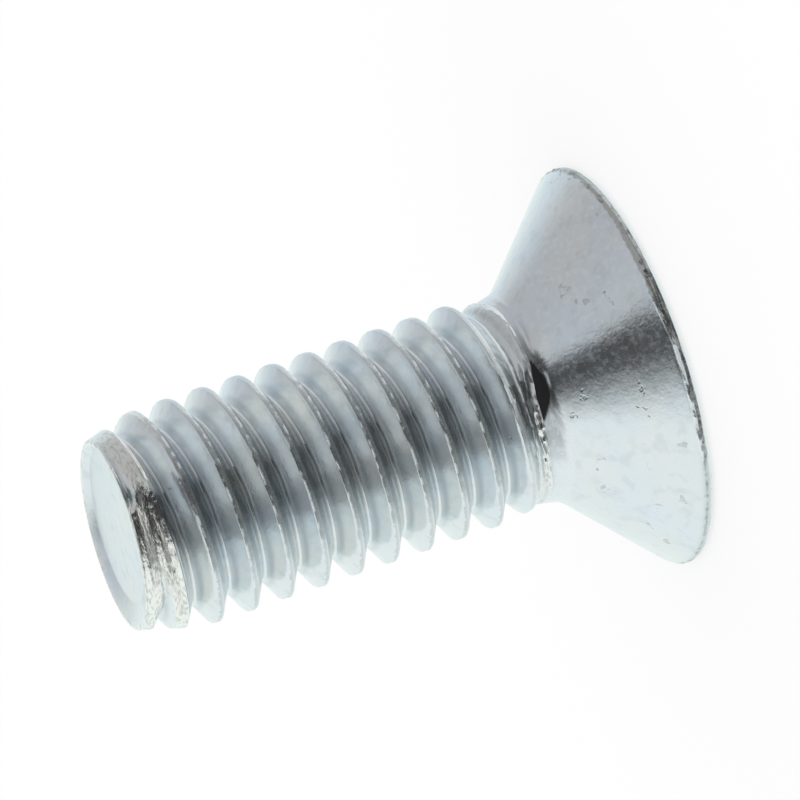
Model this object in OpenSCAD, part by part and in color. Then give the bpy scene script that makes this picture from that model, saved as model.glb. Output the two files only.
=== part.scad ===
// Countersunk machine screw: one solid with a conical head, a cross recess and a rolled thread.
// It stands on the flat face of its head, which lies at z = 0, and its axis runs up to the tip.

/* [Overall] */
// Length from the flat face of the head to the longest point of the tip
screw_len = 11.95; // [9:0.05:20]

/* [Head] */
// Diameter of the head
head_d = 8.9; // [7.5:0.05:11]
// Angle of the countersunk cone, in degrees
head_angle = 91; // [80:1:100]
// Height of the upright land around the head
land_h = 0.2; // [0.15:0.05:0.5]
// Rounding of the edge around the flat face
edge_round = 0.08; // [0.02:0.01:0.1]
// Diameter of the plain neck under the cone
neck_d = 4.45; // [4:0.05:4.7]
// Length of the plain neck above its fillet
neck_len = 0.05; // [0.05:0.05:1]
// Radius of the fillet between the cone and the neck
neck_fillet = 0.4; // [0.1:0.05:0.6]

/* [Thread] */
// Diameter over the crests
thread_d = 4.8; // [4.5:0.01:5.4]
// Distance from one crest to the next along the axis
thread_pitch = 0.8; // [0.6:0.05:1]
// Angle between the two flanks, in degrees
flank_angle = 60; // [50:1:70]
// Width of the crest
crest_w = 0.1; // [0.04:0.01:0.16]
// Width of the floor of the groove
root_w = 0.1; // [0.08:0.01:0.2]
// Length over which the thread runs out at the neck
runout_len = 0.9; // [0.5:0.1:2.5]
// Turn of the whole thread about the axis, in degrees
thread_turn = 54; // [0:1:359]

/* [Tip] */
// Diameter of the end face
end_d = 4.1; // [3.4:0.05:4.3]
// Length of the tapered lead-in
lead_len = 1.2; // [0.4:0.05:2]
// Slant of the end face, in degrees
end_slant = 3; // [0:0.5:6]
// Width of the flat rim around the hollow in the end face
end_rim_w = 0.1; // [0.05:0.05:0.6]
// Width of the sloping side of the hollow, on average
hollow_side_w = 0.3; // [0.2:0.05:0.6]
// Distance of the hollow's floor from the axis, towards the short side of the slant
hollow_shift = 0.18; // [0:0.01:0.19]
// Depth of the hollow
hollow_depth = 0.12; // [0.03:0.01:0.2]

/* [Cross recess] */
// Width over two opposite wings at the flat face
recess_w = 5; // [4:0.1:5.6]
// Width over two opposite wings at their foot
recess_foot_w = 2.3; // [1.8:0.05:2.8]
// Slope of the outer ends of the wings from the axis, in degrees
recess_taper = 26.5; // [20:0.5:32]
// Angle of the pointed floor, in degrees
floor_angle = 140; // [110:1:160]
// Thickness of a wing at the flat face
wing_t = 1.05; // [0.85:0.05:1.4]
// Draft on each side of a wing, in degrees
wing_draft = 2.9; // [1:0.1:5]
// Diameter of the core between the wings at the flat face
core_d = 2.6; // [2:0.1:3.2]
// Diameter of the core at the foot of the wings
core_foot_d = 2; // [1.4:0.05:2.2]

/* [Hidden] */
// Facets of round shapes in a preview
$fn = 96;
// Sides of the thread in one turn, and profile points in one pitch
turn_sides = 48;
pitch_points = 4;
// Steps in each small arc of the head's outline
arc_steps = 4;
// Sides of the hollow in the end face, and the thickness of the discs that span it
hollow_sides = 48;
disc_t = 0.001;
// Step by which the run-out lies inside the neck, and how far cutters reach past a face
neck_step = 0.02;
overcut = 0.2;
// Turns of thread that start inside the head
buried_turns = 2;

head_r = head_d / 2;
neck_r = neck_d / 2;
thread_r = thread_d / 2;
end_r = end_d / 2;
cone_half = head_angle / 2;
corner_z = land_h + (head_r - neck_r) / tan(cone_half);
fillet_reach = neck_fillet * tan(cone_half / 2);
neck_top = corner_z + fillet_reach + neck_len;
runout_r = neck_r - neck_step;

thread_depth = (thread_pitch - crest_w - root_w) / 2 / tan(flank_angle / 2);
end_z = screw_len - end_r * tan(end_slant);
first_turn = floor(neck_top / thread_pitch) - buried_turns + thread_turn / 360;
turns = ceil(screw_len / thread_pitch - first_turn) + 1;
rows = turns * pitch_points;

wing_h = (recess_w - recess_foot_w) / 2 / tan(recess_taper);
recess_h = wing_h + recess_foot_w / 2 / tan(floor_angle / 2);

// Points on an arc, from one angle to the other
function arc(x, z, r, from, to) =
  [for (i = [0:arc_steps]) let (a = from + (to - from) * i / arc_steps) [x + r * cos(a), z + r * sin(a)]];

// Half outline of the head, from the axis on the flat face to the axis on top of the neck
head_outline = concat(
  [[0, 0]],
  arc(head_r - edge_round, edge_round, edge_round, -90, 0),
  [[head_r, land_h]],
  arc(neck_r + neck_fillet, corner_z + fillet_reach, neck_fillet, 180 + cone_half, 180),
  [[neck_r, neck_top], [0, neck_top]]);

// Share of the full thread at height z, and the radius of the lead-in there
function thread_share(z) = min(1, max(0, (z - neck_top) / runout_len));
function lead_r(z) = end_r + (end_z - min(z, screw_len)) * (thread_r - end_r) / lead_len;

// Radius at height z of a profile point whose full radius is r
function point_r(r, z) = min(lead_r(z), runout_r + (r - runout_r) * thread_share(z));

// Half width of the ridge where it is cut off below its full height
function ridge_half(z) = min(
  (thread_pitch - root_w) / 2,
  crest_w / 2 + (thread_r - point_r(thread_r, z)) * tan(flank_angle / 2));

// Height of a profile point above the middle of its ridge at height z, towards the tip
function point_rise(k, z) = [
  -ridge_half(z), ridge_half(z), (thread_pitch - root_w) / 2, (thread_pitch + root_w) / 2][k];

// One point of the thread: row counts profile points along the axis, side counts steps around it
function thread_point(row, side) =
  let (
    k = row % pitch_points,
    a = 360 * side / turn_sides,
    ridge_z = thread_pitch * (first_turn + floor(row / pitch_points) + a / 360),
    z = ridge_z + point_rise(k, ridge_z),
    r = point_r(k < 2 ? thread_r : thread_r - thread_depth, z))
  [r * cos(a), r * sin(a), z];

// Index of a thread point: past the last side it is the start of the next turn
function at(row, side) = side < turn_sides ? row * turn_sides + side : at(row + pitch_points, side - turn_sides);

// Threaded shank, longer than needed at both ends: the helix closes there on a point of the axis
module threaded_shank() {
  points = [for (row = [0:rows - 1], side = [0:turn_sides - 1]) thread_point(row, side)];
  low_tip = [0, 0, thread_pitch * first_turn];
  high_tip = [0, 0, thread_pitch * (first_turn + turns)];
  low_loop = concat(
    [for (side = [0:turn_sides]) at(0, side)],
    [for (row = [pitch_points - 1:-1:1]) at(row, 0)]);
  high_loop = concat(
    [for (side = [0:turn_sides - 1]) at(rows - 1, side)],
    [for (row = [rows - 2:-1:rows - 1 - pitch_points]) at(row, turn_sides - 1)]);
  polyhedron(
    points = concat(points, [low_tip, high_tip]),
    faces = concat(
      [for (row = [0:rows - 2], side = [0:turn_sides - 1])
        if (side < turn_sides - 1 || row + 1 + pitch_points < rows)
          each [[at(row, side), at(row + 1, side), at(row + 1, side + 1)],
            [at(row, side), at(row + 1, side + 1), at(row, side + 1)]]],
      [for (i = [0:len(low_loop) - 1])
        [len(points), low_loop[i], low_loop[(i + 1) % len(low_loop)]]],
      [for (i = [0:len(high_loop) - 1])
        [len(points) + 1, high_loop[(i + 1) % len(high_loop)], high_loop[i]]]));
}

// Moves onto the middle of the end face, turned to its slant
module on_end_face() {
  translate([0, 0, end_z]) rotate([-end_slant, 0, 0]) children();
}

// What the cut-off takes from the shank
module end_cut() {
  reach = 2 * head_d;
  on_end_face() translate([-reach / 2, -reach / 2, 0]) cube([reach, reach, reach]);
}

// Thin disc at a height over the end face, off the axis by the given shift
module hollow_disc(r, shift, z) {
  translate([0, shift, z]) cylinder(h = disc_t, r = r, $fn = hollow_sides);
}

// Shallow hollow in the end face, with its floor off the axis; its sides run on past the face
module end_hollow() {
  hollow_r = end_r - end_rim_w;
  past = overcut / hollow_depth;
  on_end_face()
    hull() {
      hollow_disc(hollow_r - hollow_side_w, hollow_shift, -hollow_depth);
      hollow_disc(hollow_r + hollow_side_w * past, -hollow_shift * past, overcut);
    }
}

// One pair of opposite wings, with draft, running past the flat face
module wing_pair() {
  face_half = wing_t / 2 + overcut * tan(wing_draft);
  deep_half = wing_t / 2 - recess_h * tan(wing_draft);
  rotate([90, 0, 90])
    linear_extrude(height = 2 * recess_w, center = true)
      polygon([[-face_half, -overcut], [face_half, -overcut], [deep_half, recess_h], [-deep_half, recess_h]]);
}

// Cross recess: two crossed pairs of wings and a core, inside one turned point
module cross_recess() {
  core_slope = (core_d - core_foot_d) / 2 / wing_h;
  intersection() {
    rotate_extrude()
      polygon([
        [0, -overcut],
        [recess_w / 2 + overcut * tan(recess_taper), -overcut],
        [recess_foot_w / 2, wing_h],
        [0, recess_h]]);
    union() {
      for (a = [0, 90]) rotate([0, 0, a]) wing_pair();
      translate([0, 0, -overcut])
        cylinder(
          h = recess_h + 2 * overcut,
          r1 = core_d / 2 + overcut * core_slope,
          r2 = core_d / 2 - (recess_h + overcut) * core_slope);
    }
  }
}

module head() {
  rotate_extrude() polygon(head_outline);
}

module screw() {
  color([0.79, 0.81, 0.83])
    difference() {
      union() {
        head();
        difference() {
          threaded_shank();
          end_cut();
        }
      }
      end_hollow();
      cross_recess();
    }
}

screw();
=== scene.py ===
import math

import bmesh
import bpy
from mathutils import Matrix, Vector, noise


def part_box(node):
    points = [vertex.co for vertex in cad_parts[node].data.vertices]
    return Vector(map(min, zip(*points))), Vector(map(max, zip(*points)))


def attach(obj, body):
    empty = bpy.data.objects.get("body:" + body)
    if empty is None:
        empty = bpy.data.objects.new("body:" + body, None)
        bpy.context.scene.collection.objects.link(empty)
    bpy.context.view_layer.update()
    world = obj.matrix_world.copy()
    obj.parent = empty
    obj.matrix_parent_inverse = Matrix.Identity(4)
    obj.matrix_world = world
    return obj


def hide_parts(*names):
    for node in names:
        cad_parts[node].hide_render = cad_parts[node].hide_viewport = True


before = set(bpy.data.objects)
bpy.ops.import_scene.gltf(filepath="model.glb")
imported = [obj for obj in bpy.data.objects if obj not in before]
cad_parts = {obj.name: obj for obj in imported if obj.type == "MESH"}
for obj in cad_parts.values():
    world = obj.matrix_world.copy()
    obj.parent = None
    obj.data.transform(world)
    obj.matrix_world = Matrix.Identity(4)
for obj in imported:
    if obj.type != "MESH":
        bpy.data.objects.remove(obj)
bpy.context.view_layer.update()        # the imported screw: one node on one body
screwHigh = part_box("screw")[1]
mm = 0.001
print("frame loaded, the screw is %.2f mm long" % (screwHigh.z / mm))

# sizes in millimetres and degrees, the overall length and the head from the frame
# angles run about the axis, from the side that faces the camera, upwards in the photo
# an arc or a span has four values: a soft rise between the first two, a soft fall between the last two
screw = {
    "length": screwHigh.z / mm,
    # head
    "headRadius": screwHigh.x / mm,
    "headAngle": 91.0,
    "landHeight": 0.2,
    "landStart": 0.012,
    "edgeBreak": 0.006,
    "edgeRound": 0.18,
    "faceRings": (3.6, 2.9),         # rings on the flat face, the last one round the recess
    "swell": ((0.004, 1.3), (0.002, 4.0)),       # unevenness of the cone: height, waves in a millimetre
    "swellFrom": 0.3,
    # rim of the head, where knocks raised a bead and marred the edge
    "rimWidth": 0.2,
    "rimTop": 0.5,
    "beadHeight": 0.036,
    "beadRamp": 0.05,
    "beadFall": 0.022,
    "beadInset": (0.012, 0.05),      # distance from the edge, and how much further in its upper end runs
    "beadRunIn": (0, 14),
    "beadArc": (-36, -26, 17, 24),
    "beadBright": (14, 2),
    "nickDepth": 0.018,
    "nickWaves": (2.7, 7.0),
    "nickLevel": 0.9,
    "nickWidth": 0.05,
    "edgeReach": 0.045,              # how far the rubbed edge reaches in
    "edgeMarred": 0.05,
    "edgeMarredArcs": ((4, 16, 85, 110), (4, 16, 30, 42)),
    "edgeClean": 0.02,
    "edgeCleanArc": (-30, -20, 0, 6),
    "edgeBlend": 0.1,
    "edgeLow": (0.06, 0.13),
    "landClean": (0.19, 0.13),       # further down the rubbing leaves the land clean
    "landCleanArc": (-140, -110, -36, -22),
    "landCleanFade": 0.3,
    # neck, with a short dent behind the lip, deepest under it and with painted shade in it
    "neckRadius": 2.235,
    "neckBlend": 0.14,
    "neckTilt": 13.0,                # slope of the neck's side, which stands upright and lower round the dent
    "neckStart": (0.012, 0.025, 0.05),
    "neckEnd": 2.1,
    "neckGrain": (0.004, 9.0),
    "pocketRadius": 2.165,
    "pocketDepth": 0.03,
    "pocketWidth": 0.34,
    "pocketTop": (20.0, 8.0),        # angles between which it widens from nothing, from above and from below
    "pocketFoot": (-17.0, -1.0),
    "pocketRounding": (0.8, 0.7),
    "pocketCorner": 0.3,
    "pocketBlend": 0.012,
    "pocketTaper": 0.05,
    "pocketArc": (-48, -6, 4, 44),
    "pocketLineAt": 0.035,
    "pocketLineWidth": 0.025,
    "pocketLineArc": (-2, 5, 17, 24),
    "smearSheenArc": (-85, -60, -17, -6),
    "smearSheenFoot": (2.24, 2.34),
    # raised lip where the thread ends, torn along one stretch
    "lipZ": 2.75,
    "lipHeight": 0.075,
    "lipWidth": 0.15,
    "lipLean": 0.4,
    "lipLow": 0.12,
    "lipArc": (-85, -60, 14, 26),
    "lipLoops": (0.02, 0.05, 0.08, 0.11, 0.135, 0.15, 0.17, 0.2, 0.24),
    "lipLineSpan": (-0.01, 0.02, 0.06, 0.1),
    "lipLineArc": (-22, -12, 8, 20),
    "slantSpan": (2.45, 2.65, 2.85, 3.1),
    "slantUp": 0.04,
    "slantUpArc": (-70, -30, -2, 6),
    "slantDown": 0.1,
    "slantDownArc": (2, 20, 50, 90),
    "burrArc": (-75, -50, -10, 2),
    "burrAt": 0.1,
    "burrWidth": 0.1,
    "burrHeight": 0.045,
    "burrCurl": 0.05,
    "curlWaves": 13.0,
    "curlStretch": 0.6,
    # thread
    "threadRadius": 2.4,
    "pitch": 0.8,
    "flankAngle": 60.0,
    "crestFlat": 0.09,
    "crestRound": 0.025,
    "rootRound": 0.06,
    "threadTurn": 54.0,
    "runoutLength": 0.75,
    "runoutWorn": (0.5, 0.1),
    "runoutPits": (0.012, 0.01),
    "coarseWaves": 3.1,
    "fineWaves": 9.0,
    "threadGrain": 0.006,
    "crestTop": (0.9, 0.98),
    "crestDents": (0.01, 6.0),
    "crestWander": (0.006, 8.0),
    "flankShadeSpan": (0.02, 0.12, 0.18, 0.45),       # shares of the thread's depth that get painted shade, low on the flanks near the roots
    "crestWearReach": 0.02,
    "tipDashAt": 0.005,
    "tipDashWidth": (0.015, 0.005),
    "headDashWidth": (0.01, 0.005),
    "tipDashGap": (10, 26, 90, 110),
    "headDashArc": (14, 24, 60, 75),
    "dashRunout": (0.3, 0.9),
    # tip
    "endRadius": 2.05,
    "leadLength": 1.2,
    "leadBlend": 0.03,
    "leadGrain": (0.004, 0.012),
    "leadDents": (0.02, 5.0),
    "leadMarredArc": (-100, -60, 5, 40),
    "endSlant": 3.0,
    "endRim": 0.05,
    "endRound": 0.03,
    "endLip": (0.02, 0.012),
    "endLoops": (0.04, 0.08, 0.11, 0.14, 0.18, 0.24, 0.3, 0.36, 0.42),
    "hollowSide": 0.31,
    "hollowDepth": 0.125,
    "hollowShift": 0.18,
    "hollowCrown": 0.02,
    "hollowRings": (0.985, 0.93, 0.8, 0.6, 0.4, 0.15),
    "rimGuard": 0.14,
    "fillRadius": 1.98,              # ridge that fills the groove next to the end face
    "fillSlope": 0.9,
    "fillTop": 2.105,
    "fillTopAt": 0.13,
    "fillFall": 0.2,
    "fillBlend": 0.03,
    "fillGrain": 0.012,
    "fillGuard": 0.65,
    "fillReach": (0.48, 0.34),
    "fillArc": (-95, -42, 10, 20),
    "seamDepth": 0.06,               # fold along the crest where it was cut near the tip
    "seamWidth": 0.06,
    "seamArc": (-75, -50, 10, 30),
    # recess
    "recessWidth": 5.0,
    "recessFoot": 2.3,
    "recessTaper": 26.5,
    "floorAngle": 140.0,
    "wingThickness": 1.05,
    "wingDraft": 2.9,
    "coreWidth": 2.6,
    "coreFoot": 2.0,
    "mouthRound": 0.05,
    # steps of the mesh
    "sides": 200,
    "arcSteps": 4,
    "flankSteps": 5,
    "coneSteps": 24,
    "rimSteps": 14,
    "neckSteps": 30,
    "edgeSteps": 6,
    "hollowSteps": 8,
    "wingSteps": 6,
    "mouthTurns": (30, 60, 90),
    "sharpAngle": 40,
    "merge": 0.001,
    "cutMerge": 0.0001,
}

# masks that the plating reads from the mesh, among them painted shade and painted highlights
maskNames = ("wear", "rough", "flankShade", "edge", "paintedGlint", "dentShade", "smearSheen", "dull")

# what follows from those sizes
coneHalf = math.radians(screw["headAngle"] / 2)
flankHalf = math.radians(screw["flankAngle"] / 2)
flankTurn = 90 - screw["flankAngle"] / 2
cornerReach = math.sin(math.radians(flankTurn)) * (screw["crestRound"] + screw["rootRound"])
cornerDrop = (1 - math.cos(math.radians(flankTurn))) * (screw["crestRound"] + screw["rootRound"])
flankLength = screw["pitch"] / 2 - screw["crestFlat"] / 2 - cornerReach
rootRadius = screw["threadRadius"] - cornerDrop - flankLength / math.tan(flankHalf)
crestReach = screw["crestFlat"] / 2 + screw["crestRound"] * math.tan(flankHalf)
endTurn = math.radians(screw["endSlant"])
endSlope = math.tan(endTurn)
endMiddle = screw["length"] - screw["endRadius"] * endSlope
endNormal = Vector((0, math.sin(endTurn), math.cos(endTurn)))
wingTaper = math.tan(math.radians(screw["recessTaper"]))
wingHeight = (screw["recessWidth"] - screw["recessFoot"]) / 2 / wingTaper
floorSlope = math.tan(math.radians(screw["floorAngle"] / 2))


def clamp(value, low=0.0, high=1.0):
    return max(low, min(high, value))


def ease(value, low, high):
    # soft step from nought at low to one at high
    t = clamp((value - low) / (high - low))
    return t * t * (3 - 2 * t)


def within(value, span):
    # soft window: nought outside the span and one in its middle
    start, full, last, end = span
    return ease(value, start, full) * ease(value, end, last)


def bell(value, width):
    return math.exp(-(value / width) ** 2)


def softMin(a, b, blend):
    near = max(blend - abs(a - b), 0) / blend
    return min(a, b) - near * near * blend / 4


def softMax(a, b, blend):
    return -softMin(-a, -b, blend)


def angleOf(vert):
    return math.degrees(math.atan2(vert.co.y, vert.co.x))


def placeAt(vert, radius, z):
    angle = math.atan2(vert.co.y, vert.co.x)
    vert.co = (radius * math.cos(angle), radius * math.sin(angle), z)


def arcPoints(middle, radius, start, end, steps):
    # points along a round stretch, as pairs of a distance from the axis and a height
    turned = [math.radians(start + (end - start) * i / steps) for i in range(steps + 1)]
    return [(middle[0] + radius * math.cos(a), middle[1] + radius * math.sin(a)) for a in turned]


def linePoints(first, last, steps):
    # points between two ends, without the ends
    return [tuple(Vector(first).lerp(Vector(last), i / steps)) for i in range(1, steps)]


def growRing(bm, rim, place):
    # extrudes an open edge loop once, and place moves each new vertex
    grown = bmesh.ops.extrude_edge_only(bm, edges=rim)["geom"]
    for part in grown:
        if isinstance(part, bmesh.types.BMVert):
            place(part)
    return [part for part in grown if isinstance(part, bmesh.types.BMEdge) and part.is_boundary]


def threadProfile():
    # one pitch from the middle of a crest to the next: rounded on the tip side, sharp on the head side
    steps = screw["arcSteps"]
    crestMiddle = (screw["threadRadius"] - screw["crestRound"], screw["crestFlat"] / 2)
    crest = [(screw["threadRadius"], 0)]
    crest += arcPoints(crestMiddle, screw["crestRound"], 0, flankTurn, steps)
    rootMiddle = (rootRadius + screw["rootRound"], screw["pitch"] / 2)
    root = arcPoints(rootMiddle, screw["rootRound"], 180 + flankTurn, 180, steps)
    half = crest + linePoints(crest[-1], root[0], screw["flankSteps"]) + root
    corner = (screw["threadRadius"], crestReach)
    headHalf = [crest[0], corner] + linePoints(corner, root[0], screw["flankSteps"]) + root[:-1]
    return half + [(r, screw["pitch"] - rise) for r, rise in reversed(headHalf)]


def leadRadius(z):
    slope = (screw["threadRadius"] - screw["endRadius"]) / screw["leadLength"]
    return screw["endRadius"] + (endMiddle - z) * slope


def coneRadius(z):
    return screw["headRadius"] - (z - screw["landHeight"]) * math.tan(coneHalf)


def lipShare(angle):
    # the lip stands up along the torn stretch and the dent, and is nearly flush elsewhere
    return screw["lipLow"] + (1 - screw["lipLow"]) * within(angle, screw["lipArc"])


def lipRise(z):
    # the top of the lip leans towards the head, then falls to the thread
    along = (z - screw["lipZ"]) / screw["lipWidth"]
    if along < 1:
        return 1 - screw["lipLean"] * (1 - along)
    return bell(along - 1, screw["lipLean"])


def pocketWidthAt(angle):
    # width of the lens-shaped dent behind the lip
    top, foot = screw["pocketTop"], screw["pocketFoot"]
    upper = clamp((angle - top[0]) / (top[1] - top[0])) ** screw["pocketRounding"][0]
    lower = clamp((angle - foot[0]) / (foot[1] - foot[0])) ** screw["pocketRounding"][1]
    return screw["pocketWidth"] * max(softMin(upper, lower, screw["pocketCorner"]), 0.0)


def pocketShare(z, angle):
    # one inside the dent
    width = pocketWidthAt(angle)
    edge, blend = screw["lipZ"] - width, screw["pocketBlend"]
    return ease(z, edge - blend, edge + blend) * clamp(width / screw["pocketTaper"])


def pocketLine(z, angle):
    # painted highlight: a bright line along the upper side of the dent
    away = z - screw["lipZ"] + pocketWidthAt(angle) + screw["pocketLineAt"]
    return bell(away, screw["pocketLineWidth"]) * within(angle, screw["pocketLineArc"])


def smearSheenShare(z, angle):
    # torn metal over the neck below the dent, partly real and partly a painted highlight in a bright diffuse
    # colour
    share = within(angle, screw["smearSheenArc"]) * ease(z, *screw["smearSheenFoot"])
    return share * (1 - pocketShare(z, angle))


def neckRadiusAt(z, angle):
    # sloping neck blended into the cone, with a dent that deepens up to the lip
    below = screw["lipZ"] - z
    neck = screw["neckRadius"] + math.tan(math.radians(screw["neckTilt"])) * below
    neck += (screw["pocketRadius"] - neck) * within(angle, screw["pocketArc"])
    width = pocketWidthAt(angle)
    dent = screw["pocketDepth"] * width / screw["pocketWidth"]
    dent *= clamp(1 - below / max(width, 0.02))      # the least width keeps this from dividing by nought
    return softMax(neck, coneRadius(z), screw["neckBlend"]) - dent


def waves(place, pair):
    # unevenness given as its height and its waves in a millimetre
    return pair[0] * noise.noise(place * pair[1])


def shankPoint(vert, layers, riseLayer):
    # the thread fades towards the lip at the neck and is cut to a rough taper at the tip
    radius = math.hypot(vert.co.x, vert.co.y)
    angle = angleOf(vert)
    z = vert.co.z
    coarse = noise.noise(vert.co * screw["coarseWaves"])
    fine = noise.noise(vert.co * screw["fineWaves"])

    # uneven crests
    fromRoot = clamp((radius - rootRadius) / (screw["threadRadius"] - rootRadius))
    atCrest = ease(fromRoot, *screw["crestTop"])
    radius += screw["threadGrain"] * coarse * fromRoot
    radius -= atCrest * max(waves(vert.co, screw["crestDents"]), 0.0)
    z += atCrest * waves(vert.co, screw["crestWander"])

    # run-out, lip and burr
    fromLip = z - screw["lipZ"]
    share = clamp(fromLip / screw["runoutLength"])
    torn = within(angle, screw["burrArc"]) * bell(fromLip - screw["burrAt"], screw["burrWidth"])
    curl = noise.noise(Vector((vert.co.x, vert.co.y, z * screw["curlStretch"])) * screw["curlWaves"])
    worn = ease(fromLip, *screw["runoutWorn"])
    full = screw["neckRadius"] + (radius - screw["neckRadius"]) * share
    full += screw["lipHeight"] * lipRise(z) * lipShare(angle) * (1 + 0.3 * coarse)
    full += torn * (screw["burrHeight"] + screw["burrCurl"] * curl)
    full += worn * (screw["runoutPits"][0] * fine + screw["runoutPits"][1] * curl)

    # lead-in, with the fold in the cut crest
    marred = within(angle, screw["leadMarredArc"])
    lead = leadRadius(z) + (screw["leadGrain"][0] + screw["leadGrain"][1] * marred) * fine
    lead += marred * waves(vert.co, screw["leadDents"])
    fromMiddle = min(vert[riseLayer], screw["pitch"] - vert[riseLayer])
    seam = bell(fromMiddle, screw["seamWidth"]) * within(angle, screw["seamArc"])
    cutShare = ease(full - lead, -screw["leadBlend"], screw["leadBlend"])
    tapered = softMin(full, lead, screw["leadBlend"])
    tapered -= screw["seamDepth"] * seam * cutShare * (1 + fine)

    # ridge next to the end face
    belowEnd = endMiddle - vert.co.y * endSlope - z
    filled = within(angle, screw["fillArc"]) * ease(belowEnd, *screw["fillReach"])
    inner = screw["fillRadius"] + screw["fillSlope"] * belowEnd
    outer = screw["fillTop"] - screw["fillFall"] * (belowEnd - screw["fillTopAt"])
    fill = softMin(inner, outer, screw["fillBlend"]) + screw["fillGrain"] * fine
    tapered += filled * (fill - tapered)
    guard = clamp(belowEnd / screw["rimGuard"] / (1 - screw["fillGuard"] * filled))
    placeAt(vert, lead + (tapered - lead) * guard, z)

    # masks for the plating
    uncut = 1 - cutShare
    vert[layers["wear"]] *= share * uncut
    cutMetal = max(cutShare * (0.75 + 0.25 * marred), 0.7 * (1 - guard), filled)
    vert[layers["rough"]] = max(cutMetal, 0.25 * worn, 0.75 * torn)
    # painted shade low on the thread's flanks
    vert[layers["flankShade"]] = within(fromRoot, screw["flankShadeSpan"])
    # painted highlight dashes: on the head side of the crests above the middle, on their tip side below it
    if vert[riseLayer] > screw["pitch"] / 2:
        shown = within(angle, screw["headDashArc"])
    else:
        shown = 1 - within(angle, screw["tipDashGap"])
    dashes = vert[layers["paintedGlint"]] * shown * ease(share, *screw["dashRunout"]) * uncut
    # painted highlight: a bright line along the lip
    lipLine = within(fromLip, screw["lipLineSpan"]) * within(angle, screw["lipLineArc"])
    vert[layers["paintedGlint"]] = max(dashes, 0.8 * lipLine)


def addLoop(bm, point, normal):
    # an extra edge loop where a plane crosses the shank
    near = screw["pitch"] * 2
    geom = [vert for vert in bm.verts if abs((vert.co - point).dot(normal)) < near]
    geom += [edge for edge in bm.edges if abs((edge.verts[0].co - point).dot(normal)) < near]
    geom += [face for face in bm.faces if abs((face.verts[0].co - point).dot(normal)) < near]
    bmesh.ops.bisect_plane(bm, geom=geom, dist=screw["cutMerge"], plane_co=point, plane_no=normal)


def makeShank(bm, layers):
    riseLayer = bm.verts.layers.float.new("rise")
    turns = math.ceil((screw["length"] - screw["lipZ"]) / screw["pitch"]) + 1
    firstTurn = math.floor(screw["lipZ"] / screw["pitch"]) - 2 + screw["threadTurn"] / 360
    start = (firstTurn + 1) * screw["pitch"]
    profile = []
    for radius, rise in threadProfile():
        vert = bm.verts.new((radius, 0, start + rise))
        pastFlat = min(rise, screw["pitch"] - rise) - screw["crestFlat"] / 2
        tipCorner = abs(rise - screw["crestFlat"] / 2 - screw["tipDashAt"])
        headCorner = abs(screw["pitch"] - rise - crestReach)
        vert[layers["wear"]] = ease(pastFlat, screw["crestWearReach"], 0.0)
        # painted highlight dashes along the crest's corners
        vert[layers["paintedGlint"]] = ease(tipCorner, *screw["tipDashWidth"])
        vert[layers["paintedGlint"]] += ease(headCorner, *screw["headDashWidth"])
        vert[riseLayer] = rise
        profile.append(vert)
    edges = [bm.edges.new(pair) for pair in zip(profile, profile[1:])]
    bmesh.ops.spin(
        bm,
        geom=profile + edges,
        cent=(0, 0, 0),
        axis=(0, 0, 1),
        dvec=(0, 0, screw["pitch"] / screw["sides"]),
        angle=2 * math.pi,
        steps=screw["sides"],
    )
    oneTurn = bm.verts[:] + bm.edges[:] + bm.faces[:]
    for turn in range(1, turns):
        copied = bmesh.ops.duplicate(bm, geom=oneTurn)["geom"]
        verts = [part for part in copied if isinstance(part, bmesh.types.BMVert)]
        bmesh.ops.translate(bm, vec=(0, 0, screw["pitch"] * turn), verts=verts)
    bmesh.ops.remove_doubles(bm, verts=bm.verts, dist=screw["merge"])
    for rise in screw["lipLoops"]:
        addLoop(bm, Vector((0, 0, screw["lipZ"] + rise)), Vector((0, 0, 1)))
    for drop in screw["endLoops"]:
        addLoop(bm, Vector((0, 0, endMiddle)) - endNormal * drop, endNormal)
    for vert in bm.verts:
        shankPoint(vert, layers, riseLayer)
    bm.verts.layers.float.remove(riseLayer)


def cutOpen(bm, point, normal):
    # cuts away what lies beyond a plane and gives the edges of the open rim
    geom = bm.verts[:] + bm.edges[:] + bm.faces[:]
    cut = bmesh.ops.bisect_plane(
        bm, geom=geom, dist=screw["cutMerge"], plane_co=point, plane_no=normal, clear_outer=True)
    return [part for part in cut["geom_cut"] if isinstance(part, bmesh.types.BMEdge)]


def endRings():
    # rounded lip, narrow rim and shallow hollow: radius, rise over the end plane, share of the shift
    outer = screw["endRadius"] - screw["endRound"]
    hollow = outer - screw["endRim"]
    foot = hollow - screw["hollowSide"]
    depth = screw["hollowDepth"]
    rings = [(outer + screw["endLip"][0], -screw["endLip"][1], 0), (outer, 0, 0), (hollow, 0, 0)]
    steps = screw["hollowSteps"]
    for t in [i / steps for i in range(1, steps)] + [0.96]:      # the last just short of the foot
        rings.append((hollow + (foot - hollow) * t, -depth * (0.75 * t + 0.25 * t * t), t))
    rings.append((foot, -depth, 1))
    for share in screw["hollowRings"]:
        rings.append((foot * share, -depth - screw["hollowCrown"] * (1 - share), 1))
    return rings


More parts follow.
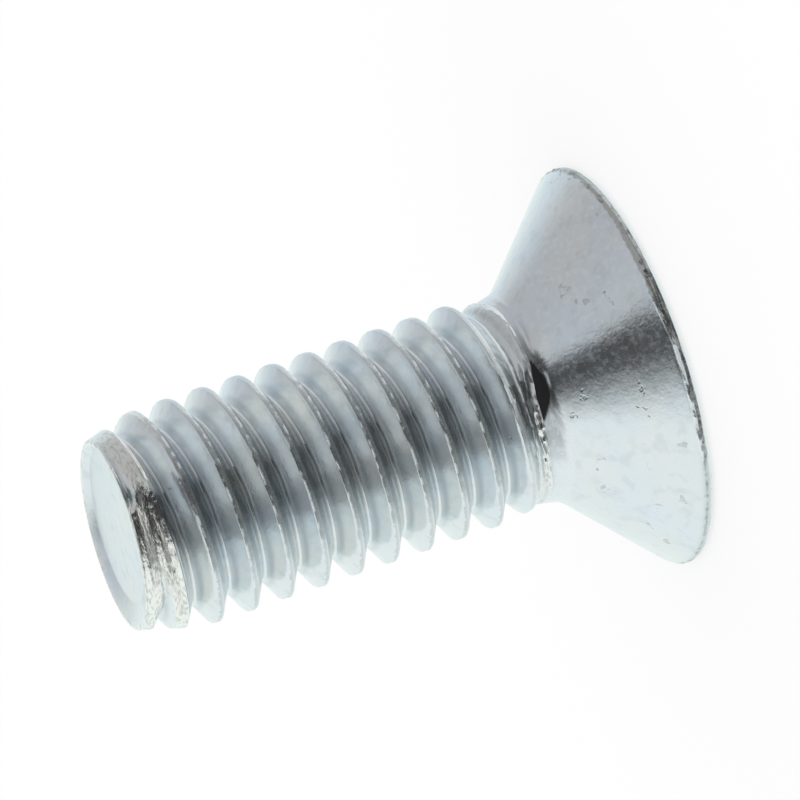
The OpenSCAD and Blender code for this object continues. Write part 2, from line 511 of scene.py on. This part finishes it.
def closeEnd(bm, rim, layers):
    shiftLayer = bm.verts.layers.float.new("ringShift")
    for radius, rise, shift in endRings():
        def place(vert):
            away = Vector((vert.co.x, vert.co.y - vert[shiftLayer])).normalized() * radius
            x, y = away.x, away.y + shift * screw["hollowShift"]
            vert.co = Vector((x, y, endMiddle - y * endSlope)) + endNormal * rise
            vert[shiftLayer] = shift * screw["hollowShift"]
            for name in ("wear", "flankShade", "paintedGlint"):
                vert[layers[name]] = 0.0
            vert[layers["rough"]] = 0.8 * clamp(1 - 4 * shift)
            vert[layers["dull"]] = ease(shift, 0.8, 1.0)
        rim = growRing(bm, rim, place)
    last = bmesh.ops.contextual_create(bm, geom=rim)["faces"]
    bmesh.ops.poke(bm, faces=last)
    bm.verts.layers.float.remove(shiftLayer)


def headOutline():
    # from the lip over the neck and the cone to the land, the rounded edge and the flat face
    head, neck, lipZ = screw["headRadius"], screw["neckRadius"], screw["lipZ"]
    neckTop = lipZ - screw["neckStart"][-1]
    fall = (neckTop - screw["neckEnd"]) / screw["neckSteps"]
    outline = [(neck, lipZ - drop) for drop in screw["neckStart"][:-1]]
    outline += [(neck, neckTop - i * fall) for i in range(screw["neckSteps"] + 1)]
    foot = (coneRadius(screw["neckEnd"]), screw["neckEnd"])
    rimFoot = (head - screw["rimWidth"], screw["landHeight"] + screw["rimWidth"] / math.tan(coneHalf))
    outline += linePoints(foot, rimFoot, screw["coneSteps"])
    edge = (head - screw["edgeBreak"], screw["landHeight"] + screw["edgeBreak"])
    outline += [rimFoot] + linePoints(rimFoot, edge, screw["rimSteps"]) + [edge]
    outline.append((head, screw["landHeight"] - screw["landStart"]))
    corner = (head - screw["edgeRound"], screw["edgeRound"])
    outline += arcPoints(corner, screw["edgeRound"], 0, -90, screw["edgeSteps"])
    return outline + [(radius, 0) for radius in screw["faceRings"]]


def edgeReach(angle):
    # how far the marred edge of the head reaches in over the cone
    wide, narrow = screw["edgeMarredArcs"]
    marred = 0.5 * within(angle, wide) + 0.5 * within(angle, narrow)
    clean = within(angle, screw["edgeCleanArc"])
    return screw["edgeReach"] + screw["edgeMarred"] * marred - screw["edgeClean"] * clean


def edgeShare(radius, z, angle):
    # rubbed stretch along the edge, which leaves the land clean further down
    reach = screw["headRadius"] - edgeReach(angle)
    share = clamp(0.5 + (radius - reach) / screw["edgeBlend"]) * ease(z, *screw["edgeLow"])
    clean = within(angle, screw["landCleanArc"])
    return share * (1 - clean * ease(z, *screw["landClean"])) * (1 - screw["landCleanFade"] * clean)


def beadAt(radius, angle):
    # thin bead that a knock raised along the edge, running in over the cone at its upper end
    inset, runIn = screw["beadInset"]
    top = screw["headRadius"] - inset - runIn * ease(angle, *screw["beadRunIn"])
    inner = (radius - top) / screw["beadRamp"] + 1
    outer = 1 - (radius - top) / screw["beadFall"]
    return within(angle, screw["beadArc"]) * max(softMin(inner, outer, 0.3), 0.0)


def makeHead(bm, rim, layers):
    slanted = 0.7        # share of a rise from the cone that goes out, and up
    for radius, z in headOutline():
        def place(vert):
            angle = angleOf(vert)
            out, up = radius, z
            paintedGlint = dentShade = smearSheen = 0.0
            if z > screw["neckEnd"] - screw["merge"]:
                # the smear below the dent is torn metal painted bright as a highlight
                smearSheen = smearSheenShare(z, angle)
                # painted highlight line above the dent
                paintedGlint = 0.7 * pocketLine(z, angle) + 1.2 * smearSheen
                # painted shade: the dent behind the lip is coloured near-black
                dentShade = pocketShare(z, angle)
                out = neckRadiusAt(z, angle) + waves(vert.co, screw["neckGrain"])
            elif z > screw["swellFrom"]:
                swell = slanted * sum(waves(vert.co, pair) for pair in screw["swell"])
                out, up = radius + swell, z + swell
            if screw["landHeight"] < z < screw["rimTop"]:
                bead = beadAt(radius, angle)
                raised = slanted * screw["beadHeight"] * bead
                out, up = out + raised, up + raised
                # painted highlight along the bead's upper stretch
                paintedGlint = 2.0 * clamp(3 * bead) * ease(angle, *screw["beadBright"])
            placeAt(vert, out, up)
            atEdge = bell(radius - screw["headRadius"], screw["nickWidth"]) if z > 0.1 else 0.0
            nicks = sum(noise.noise(vert.co * scale) for scale in screw["nickWaves"])
            nick = atEdge * screw["nickDepth"] * (nicks - screw["nickLevel"])
            placeAt(vert, min(out + min(nick, 0.0), screw["headRadius"]), up + nick)
            vert[layers["edge"]] = edgeShare(radius, z, angle) if z < screw["rimTop"] else 0.0
            vert[layers["wear"]] = 0.8 * atEdge
            vert[layers["rough"]] = 0.0
            vert[layers["flankShade"]] = 0.0
            vert[layers["paintedGlint"]] = paintedGlint
            vert[layers["dentShade"]] = dentShade
            vert[layers["smearSheen"]] = 0.8 * smearSheen
        rim = growRing(bm, rim, place)
    return rim


def recessSection(depth, spread=0.0):
    # outline of the cross recess at a depth: four wings and a round core inside a turned point
    half = screw["wingThickness"] / 2 - depth * math.tan(math.radians(screw["wingDraft"])) + spread
    core = (screw["coreWidth"] + (screw["coreFoot"] - screw["coreWidth"]) * depth / wingHeight) / 2 + spread
    reach = screw["recessWidth"] / 2 - depth * wingTaper + spread
    if depth > wingHeight:
        reach = screw["recessFoot"] / 2 - (depth - wingHeight) * floorSlope
    core = min(core, reach)
    wingTurn = math.asin(half / reach)
    coreTurn = math.asin(half / core)
    points = []
    for quarter in range(4):
        middle = quarter * math.pi / 2
        for i in range(5):
            points.append((reach, middle - wingTurn + wingTurn * i / 2))
        for i in range(4):
            points.append((core, middle + coreTurn + (math.pi / 2 - 2 * coreTurn) * i / 3))
    return [(r * math.cos(a), r * math.sin(a)) for r, a in points]


def makeRecess(bm, faceRim, orderLayer):
    coreDepth = wingHeight + (screw["recessFoot"] - screw["coreFoot"]) / 2 / floorSlope + 0.02
    mouth = []
    for order, (x, y) in enumerate(recessSection(0, screw["mouthRound"])):
        vert = bm.verts.new((x, y, 0))
        vert[orderLayer] = order
        mouth.append(vert)
    rim = [bm.edges.new((mouth[i - 1], mouth[i])) for i in range(len(mouth))]
    bmesh.ops.triangle_fill(bm, edges=faceRim + rim, use_beauty=True)
    levels = []
    for turn in [math.radians(degrees) for degrees in screw["mouthTurns"]]:
        down, out = 1 - math.cos(turn), 1 - math.sin(turn)
        levels.append((down * screw["mouthRound"], out * screw["mouthRound"]))
    steps = screw["wingSteps"]
    levels += [(wingHeight * i / steps, 0.0) for i in range(1, steps + 1)] + [(coreDepth, 0.0)]
    for depth, spread in levels:
        section = recessSection(depth, spread)
        def place(vert):
            x, y = section[vert[orderLayer]]
            vert.co = (x, y, depth)
        rim = growRing(bm, rim, place)
    floor = bmesh.ops.contextual_create(bm, geom=rim)["faces"]
    middle = bmesh.ops.poke(bm, faces=floor)["verts"][0]
    middle.co.z = wingHeight + screw["recessFoot"] / 2 / floorSlope


def slantLip(bm):
    # the lip runs closer to the head above the middle and further from it below
    for vert in bm.verts:
        near = within(vert.co.z, screw["slantSpan"])
        if near > 0:
            angle = angleOf(vert)
            raised = screw["slantUp"] * within(angle, screw["slantUpArc"])
            lowered = screw["slantDown"] * within(angle, screw["slantDownArc"])
            vert.co.z += near * (raised - lowered)


def makeScrew():
    bm = bmesh.new()
    layers = {}
    for name in maskNames:
        layers[name] = bm.verts.layers.float.new(name)
    orderLayer = bm.verts.layers.int.new("ringOrder")
    makeShank(bm, layers)
    print("shank spun:", len(bm.faces), "faces")
    endRim = cutOpen(bm, Vector((0, 0, endMiddle)) - endNormal * screw["endRound"], endNormal)
    closeEnd(bm, endRim, layers)
    neckRim = cutOpen(bm, (0, 0, screw["lipZ"]), (0, 0, -1))
    faceRim = makeHead(bm, neckRim, layers)
    makeRecess(bm, faceRim, orderLayer)
    slantLip(bm)
    bmesh.ops.remove_doubles(bm, verts=bm.verts, dist=screw["merge"] / 2)
    bmesh.ops.recalc_face_normals(bm, faces=bm.faces)
    for face in bm.faces:
        face.smooth = True
    openEdges = sum(1 for edge in bm.edges if not edge.is_manifold)
    triangles = sum(len(face.verts) - 2 for face in bm.faces)
    print("screw closed:", triangles, "triangles,", openEdges, "open edges")
    bmesh.ops.scale(bm, vec=(mm, mm, mm), verts=bm.verts)
    bm.verts.layers.int.remove(orderLayer)
    mesh = bpy.data.meshes.new("screwBody")
    bm.to_mesh(mesh)
    bm.free()
    mesh.set_sharp_from_angle(angle=math.radians(screw["sharpAngle"]))
    piece = bpy.data.objects.new("screwBody", mesh)
    bpy.context.scene.collection.objects.link(piece)
    return piece


def addNode(tree, kind, inputs=None, **settings):
    # a node with its settings, its fixed values and the sockets that feed it
    made = tree.nodes.new(kind)
    for name, value in settings.items():
        setattr(made, name, value)
    for name, value in (inputs or {}).items():
        if isinstance(value, bpy.types.NodeSocket):
            tree.links.new(value, made.inputs[name])
        else:
            made.inputs[name].default_value = value
    return made


def mixColour(tree, factor, a, b):
    return addNode(tree, "ShaderNodeMix", {0: factor, 6: a, 7: b}, data_type="RGBA").outputs[2]


def mixValue(tree, factor, a, b):
    return addNode(tree, "ShaderNodeMix", {0: factor, 2: a, 3: b}).outputs[0]


def mapRange(tree, value, span, toLow=0.0, toHigh=1.0, kind="SMOOTHSTEP"):
    ends = {"From Min": span[0], "From Max": span[1], "To Min": toLow, "To Max": toHigh}
    made = addNode(tree, "ShaderNodeMapRange", {"Value": value, **ends}, interpolation_type=kind)
    return made.outputs["Result"]


def doMath(tree, operation, a, b=0.0):
    return addNode(tree, "ShaderNodeMath", {0: a, 1: b}, operation=operation).outputs[0]


def doVector(tree, operation, a, b):
    return addNode(tree, "ShaderNodeVectorMath", {0: a, 1: b}, operation=operation)


def noiseAt(tree, place, scale, detail=2.0):
    made = addNode(tree, "ShaderNodeTexNoise", {"Vector": place, "Scale": scale, "Detail": detail})
    return made.outputs["Fac"]


def attribute(tree, name):
    return addNode(tree, "ShaderNodeAttribute", attribute_name=name).outputs["Fac"]


# bright zinc plate, with pattern scales in features to a metre and marks on the cone in degrees and mm
# a span is the stretch of a noise between its least and its full effect
zinc = {
    "cool": (0.73, 0.79, 0.82, 1),
    "warm": (0.77, 0.80, 0.79, 1),
    "tintScale": 900,
    "tintSpan": (0.35, 0.65),
    "flankShade": (0.58, 0.63, 0.655, 1),      # painted shade low on the thread's flanks, near the roots
    "faint": (0.60, 0.64, 0.66, 1),      # faint specks all over the plate
    "faintScale": 3000,
    "faintSpan": (0.5, 0.72),
    "faintShare": 0.4,
    "crest": (0.59, 0.645, 0.645, 1),    # rubbed crests; the bright dashes on them are painted highlights
    "edge": (0.50, 0.52, 0.50, 1),       # rubbed metal at the edge of the head, with dark flecks
    "edgeFleck": (0.20, 0.21, 0.20, 1),
    "edgeScale": 7000,
    "edgeSpan": (0.45, 0.75),
    "edgeFleckScale": 5600,
    "edgeFleckSpan": (0.5, 0.68),
    "edgeFleckShare": 0.8,
    "dash": (0.77, 0.83, 0.86, 1),       # painted highlight dashes, drawn out along the crests that face the camera
    "dashScale": 6500,
    "dashStretch": (1, 0.45, 1),
    "dashSpan": (0.44, 0.58),
    "dashMetal": 0.35,
    "dust": 0.09,                        # share of dull specks on the head
    "dustScale": 8000,
    "dustSpan": (0.48, 0.66),
    "dentShade": (0.085, 0.085, 0.087, 1),   # painted shade: near-black colour in the dent behind the lip
    "cut": (0.87, 0.88, 0.825, 1),       # duller metal where the taper cut the thread, lined round the axis
    "smut": (0.34, 0.35, 0.33, 1),       # dark flecks in cut metal and in pits
    "toothScale": 6500,
    "toothStretch": (1, 1, 3.2),
    "fleckSpan": (0.55, 0.3),
    "fleckShare": 0.5,
    "roughness": 0.19,
    "roughnessSpread": 0.03,
    "roughnessScale": 2700,
    "roughnessSpan": (0.3, 0.7),
    "wornRoughness": 0.32,
    "cutRoughness": 0.15,
    "endRoughness": 0.25,
    "dentShadeRoughness": 0.5,
    "bumpDepth": 0.000004,               # heights below are shares of this
    "peelScale": 5000,
    "grainScale": 16000,
    "grainSpan": (0.42, 0.6),
    "grainHeight": 0.5,
    "toothHeight": (0.4, 5.0),
    "toothFrom": (0.6, 1.0),
    "edgeDrop": 2.0,
    "pitDrop": 2.0,
    "pitScale": 1500,
    "pitSpan": (0.055, 0.03),
    "pitCells": 0.75,
    "pitShare": 0.6,
    "mark": (0.44, 0.46, 0.47, 1),
    "markShare": 0.65,
    "markPits": 0.6,
    "markRing": 0.45,
    "markWidth": 0.00006,
    "markStir": 0.00045,
    "markStirScale": 6500,
    "markGapScale": 5000,
    "markGapSpan": (0.42, 0.55),
    # knocks on the cone: angle about the axis, distance from it and width of the curl
    "marks": [
        (37, 3.1, 0.26), (28, 3.3, 0.26), (23, 3.7, 0.24), (48, 4.3, 0.16),
        (-9, 3.65, 0.16), (-17, 3.6, 0.2), (-8, 2.7, 0.18), (-16, 2.5, 0.16),
        (-37, 3.6, 0.14), (-29, 4.15, 0.18), (-38, 2.75, 0.14), (-57, 2.85, 0.16),
        (-49, 4.05, 0.16), (-55, 3.65, 0.14), (-71, 3.6, 0.16), (-77, 3.95, 0.16),
        (70, 4.37, 0.12), (77, 4.36, 0.14), (33, 4.42, 0.14), (20, 4.43, 0.12),
    ],
}


def markMask(tree, place):
    # curled nicks where the head was knocked: thin broken rings that the grain stirs
    stir = addNode(
        tree, "ShaderNodeTexNoise",
        {"Vector": place, "Scale": zinc["markStirScale"], "Detail": 1.0})
    stir = doVector(tree, "SUBTRACT", stir.outputs["Color"], (0.5, 0.5, 0.5))
    stir = addNode(
        tree, "ShaderNodeVectorMath",
        {0: stir.outputs[0], "Scale": zinc["markStir"]}, operation="SCALE")
    stirred = doVector(tree, "ADD", place, stir.outputs[0]).outputs[0]
    mask = 0.0
    for angle, radius, width in zinc["marks"]:
        turn = math.radians(angle)
        z = screw["landHeight"] + (screw["headRadius"] - radius) / math.tan(coneHalf)
        middle = Vector((radius * math.cos(turn), radius * math.sin(turn), z)) * mm
        away = doVector(tree, "DISTANCE", stirred, middle).outputs["Value"]
        fromRing = doMath(tree, "SUBTRACT", away, width * mm * zinc["markRing"])
        curl = mapRange(tree, doMath(tree, "ABSOLUTE", fromRing), (zinc["markWidth"], 0.0))
        mask = doMath(tree, "MAXIMUM", curl, mask)
    gaps = mapRange(tree, noiseAt(tree, place, zinc["markGapScale"], 0.0), zinc["markGapSpan"])
    return doMath(tree, "MULTIPLY", mask, gaps)


def pitMask(tree, place):
    # sparse pinholes, in about one cell of four
    cells = addNode(tree, "ShaderNodeTexVoronoi", {"Vector": place, "Scale": zinc["pitScale"]})
    chosen = addNode(tree, "ShaderNodeSeparateColor", {0: cells.outputs["Color"]}).outputs["Red"]
    hole = mapRange(tree, cells.outputs["Distance"], zinc["pitSpan"])
    return doMath(tree, "MULTIPLY", hole, doMath(tree, "GREATER_THAN", chosen, zinc["pitCells"]))


def stretched(tree, place, scale):
    return addNode(tree, "ShaderNodeMapping", {"Vector": place, "Scale": scale}).outputs[0]


def makeZinc():
    material = bpy.data.materials.new("zincPlate")
    material.use_nodes = True
    tree = material.node_tree
    shader = tree.nodes["Principled BSDF"]
    place = addNode(tree, "ShaderNodeTexCoord").outputs["Object"]
    wear = attribute(tree, "wear")
    cut = attribute(tree, "rough")
    dentShade = attribute(tree, "dentShade")
    grain = noiseAt(tree, place, zinc["grainScale"])
    marks = markMask(tree, place)
    holes = pitMask(tree, place)
    tooth = noiseAt(tree, stretched(tree, place, zinc["toothStretch"]), zinc["toothScale"])

    # plate
    tint = mapRange(tree, noiseAt(tree, place, zinc["tintScale"], 3.0), zinc["tintSpan"])
    colour = mixColour(tree, tint, zinc["cool"], zinc["warm"])
    # painted shade low on the thread's flanks
    colour = mixColour(tree, attribute(tree, "flankShade"), colour, zinc["flankShade"])
    faint = noiseAt(tree, place, zinc["faintScale"])
    faint = mapRange(tree, faint, zinc["faintSpan"], 0.0, zinc["faintShare"])
    colour = mixColour(tree, faint, colour, zinc["faint"])
    colour = mixColour(tree, wear, colour, zinc["crest"])

    # ragged rubbed edge of the head
    ragged = doMath(tree, "SUBTRACT", noiseAt(tree, place, zinc["edgeScale"]), 0.5)
    rubbed = mapRange(tree, doMath(tree, "ADD", attribute(tree, "edge"), ragged), zinc["edgeSpan"])
    spotted = noiseAt(tree, place, zinc["edgeFleckScale"])
    spotted = mapRange(tree, spotted, zinc["edgeFleckSpan"], 0.0, zinc["edgeFleckShare"])
    colour = mixColour(tree, rubbed, colour, mixColour(tree, spotted, zinc["edge"], zinc["edgeFleck"]))

    # painted highlight dashes, and the bright smear below the dent, partly torn metal and partly painted
    # highlight
    drawn = stretched(tree, place, zinc["dashStretch"])
    dash = mapRange(tree, noiseAt(tree, drawn, zinc["dashScale"], 1.0), zinc["dashSpan"])
    dash = doMath(tree, "MULTIPLY", attribute(tree, "paintedGlint"), dash)
    dash = doMath(tree, "MAXIMUM", dash, attribute(tree, "smearSheen"))
    colour = mixColour(tree, dash, colour, zinc["dash"])
    # less metal in the painted highlights keeps them bright from every side
    metal = mapRange(tree, dash, (0.0, 1.0), 1.0, zinc["dashMetal"], "LINEAR")

    # dull specks on the head
    up = addNode(tree, "ShaderNodeSeparateXYZ", {0: place}).outputs["Z"]
    onHead = mapRange(tree, up, (screw["lipZ"] * mm, screw["neckEnd"] * mm), 0.0, zinc["dust"])
    dusty = mapRange(tree, noiseAt(tree, place, zinc["dustScale"], 3.0), zinc["dustSpan"])
    metal = doMath(tree, "SUBTRACT", metal, doMath(tree, "MULTIPLY", dusty, onHead))
    tree.links.new(metal, shader.inputs["Metallic"])

    # painted shade in the dent, cut metal, marks and pinholes
    colour = mixColour(tree, dentShade, colour, zinc["dentShade"])
    fleck = mapRange(tree, tooth, zinc["fleckSpan"], 0.0, zinc["fleckShare"])
    colour = mixColour(tree, cut, colour, mixColour(tree, fleck, zinc["cut"], zinc["smut"]))
    colour = mixColour(tree, doMath(tree, "MULTIPLY", marks, zinc["markShare"]), colour, zinc["mark"])
    colour = mixColour(tree, doMath(tree, "MULTIPLY", holes, zinc["pitShare"]), colour, zinc["smut"])
    tree.links.new(colour, shader.inputs["Base Color"])

    spread = zinc["roughnessSpread"]
    rough = noiseAt(tree, place, zinc["roughnessScale"])
    rough = mapRange(tree, rough, zinc["roughnessSpan"], -spread, spread, "LINEAR")
    rough = doMath(tree, "ADD", rough, zinc["roughness"])
    worn = doMath(tree, "MULTIPLY", wear, mapRange(tree, grain, zinc["grainSpan"]))
    rough = mixValue(tree, worn, rough, zinc["wornRoughness"])
    rough = mixValue(tree, cut, rough, zinc["cutRoughness"])
    rough = mixValue(tree, attribute(tree, "dull"), rough, zinc["endRoughness"])
    rough = mixValue(tree, dentShade, rough, zinc["dentShadeRoughness"])
    tree.links.new(rough, shader.inputs["Roughness"])

    height = noiseAt(tree, place, zinc["peelScale"], 3.0)
    height = doMath(tree, "ADD", height, doMath(tree, "MULTIPLY", grain, zinc["grainHeight"]))
    height = doMath(tree, "SUBTRACT", height, doMath(tree, "MULTIPLY", rubbed, zinc["edgeDrop"]))
    bite = mapRange(tree, cut, zinc["toothFrom"], *zinc["toothHeight"], "LINEAR")
    height = doMath(tree, "ADD", height, doMath(tree, "MULTIPLY", tooth, bite))
    pits = doMath(tree, "MAXIMUM", doMath(tree, "MULTIPLY", marks, zinc["markPits"]), holes)
    height = doMath(tree, "SUBTRACT", height, doMath(tree, "MULTIPLY", pits, zinc["pitDrop"]))
    bump = addNode(tree, "ShaderNodeBump", {"Height": height, "Strength": 1.0, "Distance": zinc["bumpDepth"]})
    tree.links.new(bump.outputs["Normal"], shader.inputs["Normal"])
    return material


screwPiece = makeScrew()
screwPiece.data.materials.append(makeZinc())
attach(screwPiece, "root")
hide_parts("screw")
print("screw dressed")

# the photo's view: from the side and a little above, turned so that the tip points left
viewing = {
    "aim": (0, 0, 5.6),
    "elevation": 14.95,
    "roll": 18.64,
    "distance": 153.8,
    "imageWidth": 800,
    "pixelsPerMm": 47.24,
    "aimPixel": (386.1, 444.8),
    "sensor": 36.0,
    "clip": (0.01, 5.0),
}
viewRise = math.radians(viewing["elevation"])
towardsCamera = Vector((math.cos(viewRise), 0, math.sin(viewRise)))

# soft light tent: white below and behind, greyer above, dark round the camera
# x runs to the front, y up in the photo and z to the tip; spans are in these directions
tent = {
    "radius": 0.3,
    "segments": (48, 24),
    "below": (0.955, 1.0, 1.01, 1),
    "above": (0.59, 0.612, 0.645, 1),
    "aboveSpan": (-0.1, 0.2),
    "aboveDrop": 0.25,                   # the grey reaches further down towards the head
    "aboveDropSpan": (-0.35, -0.6),
    "roof": (0.53, 0.527, 0.545, 1),
    "roofSpan": (0.35, 0.7),
    "lowPale": (1.0, 1.0, 1.0, 1),
    "lowGrey": (0.70, 0.70, 0.71, 1),
    "lowGreySpan": (0.2, 0.6),
    "lowSpan": (-0.2, -0.4),
    "behind": (0.92, 0.99, 0.975, 1),
    "behindHigh": (0.78, 0.86, 0.92, 1),
    "behindHighSpan": (0.15, 0.45),
    "behindSpan": (-0.3, -1.0),
    "behindLean": 0.5,
    "lowBehindSpan": (-0.15, -0.4),
    "lowBehindDown": (0.0, -0.2),
    "front": (0.11, 0.11, 0.112, 1),
    "frontSpan": (0.05, 1.0),
    "frontTop": (0.4, 0.05),
    "frontFoot": (-0.6, -0.4),
    "patch": (0.38, 0.38, 0.385, 1),
    "patchSide": (0.6, -0.4, -0.69),
    "patchSpan": (0.9, 0.98),
    "slit": (0.068, 0.068, 0.072, 1),    # dark slit along the axis of the screw, wider towards the front
    "slitFront": (0.045, 0.045, 0.047, 1),
    "slitFrontSpan": (0.3, 0.55),
    "slitEye": 0.97,
    "slitWiden": (0.25, 0.7),
    "slitLow": ((-0.40, -0.72), (0.06, -0.12)),      # start and end of its lower side, behind and in front
    "slitHigh": ((0.26, 0.34), (0.17, 0.26)),
    "slitFoot": (-0.2, 0.2),
    "slitBack": (-0.95, 0.15),
    "hood": (0.2, 0.2, 0.205, 1),        # greyer spot at the camera itself
    "hoodSpan": (0.93, 0.985),
}


def hideFromLight(piece, glossy):
    piece.visible_camera = False
    piece.visible_diffuse = False
    piece.visible_transmission = False
    piece.visible_shadow = False
    piece.visible_volume_scatter = False
    piece.visible_glossy = glossy


def addPiece(bm, name):
    mesh = bpy.data.meshes.new(name)
    bm.to_mesh(mesh)
    bm.free()
    piece = bpy.data.objects.new(name, mesh)
    bpy.context.scene.collection.objects.link(piece)
    return piece


def addMaterial(piece, name):
    material = bpy.data.materials.new(name)
    material.use_nodes = True
    piece.data.materials.append(material)
    return material


def tentColour(tree):
    place = addNode(tree, "ShaderNodeTexCoord").outputs["Object"]
    along = addNode(tree, "ShaderNodeVectorMath", {0: place}, operation="NORMALIZE").outputs[0]
    split = addNode(tree, "ShaderNodeSeparateXYZ", {0: along})
    x, y, z = split.outputs["X"], split.outputs["Y"], split.outputs["Z"]

    def times(*factors):
        made = factors[0]
        for factor in factors[1:]:
            made = doMath(tree, "MULTIPLY", made, factor)
        return made

    # grey above and white below
    roof = mixColour(tree, mapRange(tree, y, tent["roofSpan"]), tent["above"], tent["roof"])
    low = mapRange(tree, x, tent["lowGreySpan"], kind="LINEAR")
    low = mixColour(tree, low, tent["lowPale"], tent["lowGrey"])
    roof = mixColour(tree, mapRange(tree, z, tent["lowSpan"]), roof, low)
    lowered = doMath(tree, "ADD", y, mapRange(tree, z, tent["aboveDropSpan"], 0.0, tent["aboveDrop"]))
    colour = mixColour(tree, mapRange(tree, lowered, tent["aboveSpan"]), tent["below"], roof)

    # paler behind
    backward = doMath(tree, "ADD", x, doMath(tree, "MULTIPLY", z, tent["behindLean"]))
    lowBehind = mapRange(tree, backward, tent["lowBehindSpan"])
    lowBehind = times(lowBehind, mapRange(tree, z, tent["lowBehindDown"]))
    colour = mixColour(tree, lowBehind, colour, tent["lowPale"])
    behind = mapRange(tree, y, tent["behindHighSpan"])
    behind = mixColour(tree, behind, tent["behind"], tent["behindHigh"])
    colour = mixColour(tree, mapRange(tree, backward, tent["behindSpan"]), colour, behind)

    # dark opening round the camera
    front = mapRange(tree, x, tent["frontSpan"], kind="LINEAR")
    front = times(front, mapRange(tree, z, tent["frontTop"]), mapRange(tree, z, tent["frontFoot"]))
    colour = mixColour(tree, front, colour, tent["front"])
    side = Vector(tent["patchSide"]).normalized()
    towards = doVector(tree, "DOT_PRODUCT", along, side).outputs["Value"]
    colour = mixColour(tree, mapRange(tree, towards, tent["patchSpan"]), colour, tent["patch"])

    # slit
    turned = doMath(tree, "DIVIDE", y, doMath(tree, "ADD", x, tent["slitEye"]))
    widen = mapRange(tree, x, tent["slitWiden"])

    def slitSide(ends):
        span = [mapRange(tree, widen, (0.0, 1.0), *end, "LINEAR") for end in ends]
        return mapRange(tree, turned, span)

    slit = times(
        slitSide(tent["slitLow"]), slitSide(tent["slitHigh"]),
        mapRange(tree, z, tent["slitFoot"]), mapRange(tree, x, tent["slitBack"]))
    slitColour = mixColour(tree, mapRange(tree, x, tent["slitFrontSpan"]), tent["slit"], tent["slitFront"])
    colour = mixColour(tree, slit, colour, slitColour)

    towards = doVector(tree, "DOT_PRODUCT", along, towardsCamera).outputs["Value"]
    return mixColour(tree, mapRange(tree, towards, tent["hoodSpan"]), colour, tent["hood"])


def makeTent():
    bm = bmesh.new()
    around, upward = tent["segments"]
    bmesh.ops.create_uvsphere(bm, u_segments=around, v_segments=upward, radius=tent["radius"])
    bmesh.ops.reverse_faces(bm, faces=bm.faces)
    piece = addPiece(bm, "lightTent")
    material = addMaterial(piece, "tentCloth")
    tree = material.node_tree
    tree.nodes.remove(tree.nodes["Principled BSDF"])
    glow = addNode(tree, "ShaderNodeEmission", {"Color": tentColour(tree)})
    tree.links.new(glow.outputs[0], tree.nodes["Material Output"].inputs["Surface"])
    material.cycles.emission_sampling = "NONE"
    hideFromLight(piece, True)


# pale floor, which the camera sees white with part of the shadow left on it
floor = {
    "size": 0.8,
    "drop": 0.00001,
    "colour": (1, 1, 1, 1),
    "whiteShare": 0.65,
}


def makeFloor():
    bm = bmesh.new()
    bmesh.ops.create_grid(bm, x_segments=1, y_segments=1, size=floor["size"])
    bmesh.ops.translate(bm, vec=(0, 0, -floor["drop"]), verts=bm.verts)
    piece = addPiece(bm, "paleFloor")
    tree = addMaterial(piece, "paleFloor").node_tree
    shader = tree.nodes["Principled BSDF"]
    shader.inputs["Base Color"].default_value = floor["colour"]
    shader.inputs["Roughness"].default_value = 1.0
    shader.inputs["Specular IOR Level"].default_value = 0.0
    light = addNode(tree, "ShaderNodeLightPath")
    share = doMath(tree, "MULTIPLY", light.outputs["Is Camera Ray"], floor["whiteShare"])
    white = addNode(tree, "ShaderNodeEmission", {"Color": floor["colour"]})
    both = addNode(tree, "ShaderNodeMixShader", {0: share, 1: shader.outputs[0], 2: white.outputs[0]})
    tree.links.new(both.outputs[0], tree.nodes["Material Output"].inputs["Surface"])
    piece.visible_glossy = False


def makeWorld():
    world = bpy.data.worlds.new("whiteRoom")
    world.use_nodes = True
    back = world.node_tree.nodes["Background"]
    back.inputs["Color"].default_value = (1, 1, 1, 1)
    back.inputs["Strength"].default_value = 1.0
    bpy.context.scene.world = world


def makeCamera():
    data = bpy.data.cameras.new("camera")
    camera = bpy.data.objects.new("camera", data)
    bpy.context.scene.collection.objects.link(camera)
    roll = math.radians(viewing["roll"])
    toHead = Vector((math.sin(viewRise), 0, -math.cos(viewRise)))
    side = Vector((0, 1, 0))
    right = toHead * math.cos(roll) - side * math.sin(roll)
    up = toHead * math.sin(roll) + side * math.cos(roll)
    half = viewing["imageWidth"] / 2
    offsetX = (half - viewing["aimPixel"][0]) / viewing["pixelsPerMm"]
    offsetY = (viewing["aimPixel"][1] - half) / viewing["pixelsPerMm"]
    eye = Vector(viewing["aim"]) + towardsCamera * viewing["distance"]
    middle = Vector(viewing["aim"]) + right * offsetX + up * offsetY
    back = (eye - middle).normalized()
    right = up.cross(back).normalized()
    up = back.cross(right)
    camera.matrix_world = Matrix.Translation(eye * mm) @ Matrix((right, up, back)).transposed().to_4x4()
    data.sensor_width = viewing["sensor"]
    data.lens = viewing["sensor"] * viewing["pixelsPerMm"] * viewing["distance"] / viewing["imageWidth"]
    data.clip_start, data.clip_end = viewing["clip"]
    bpy.context.scene.camera = camera


makeTent()
makeFloor()
makeWorld()
makeCamera()
bpy.context.scene.view_settings.view_transform = "Standard"
print("stage, light and camera set")
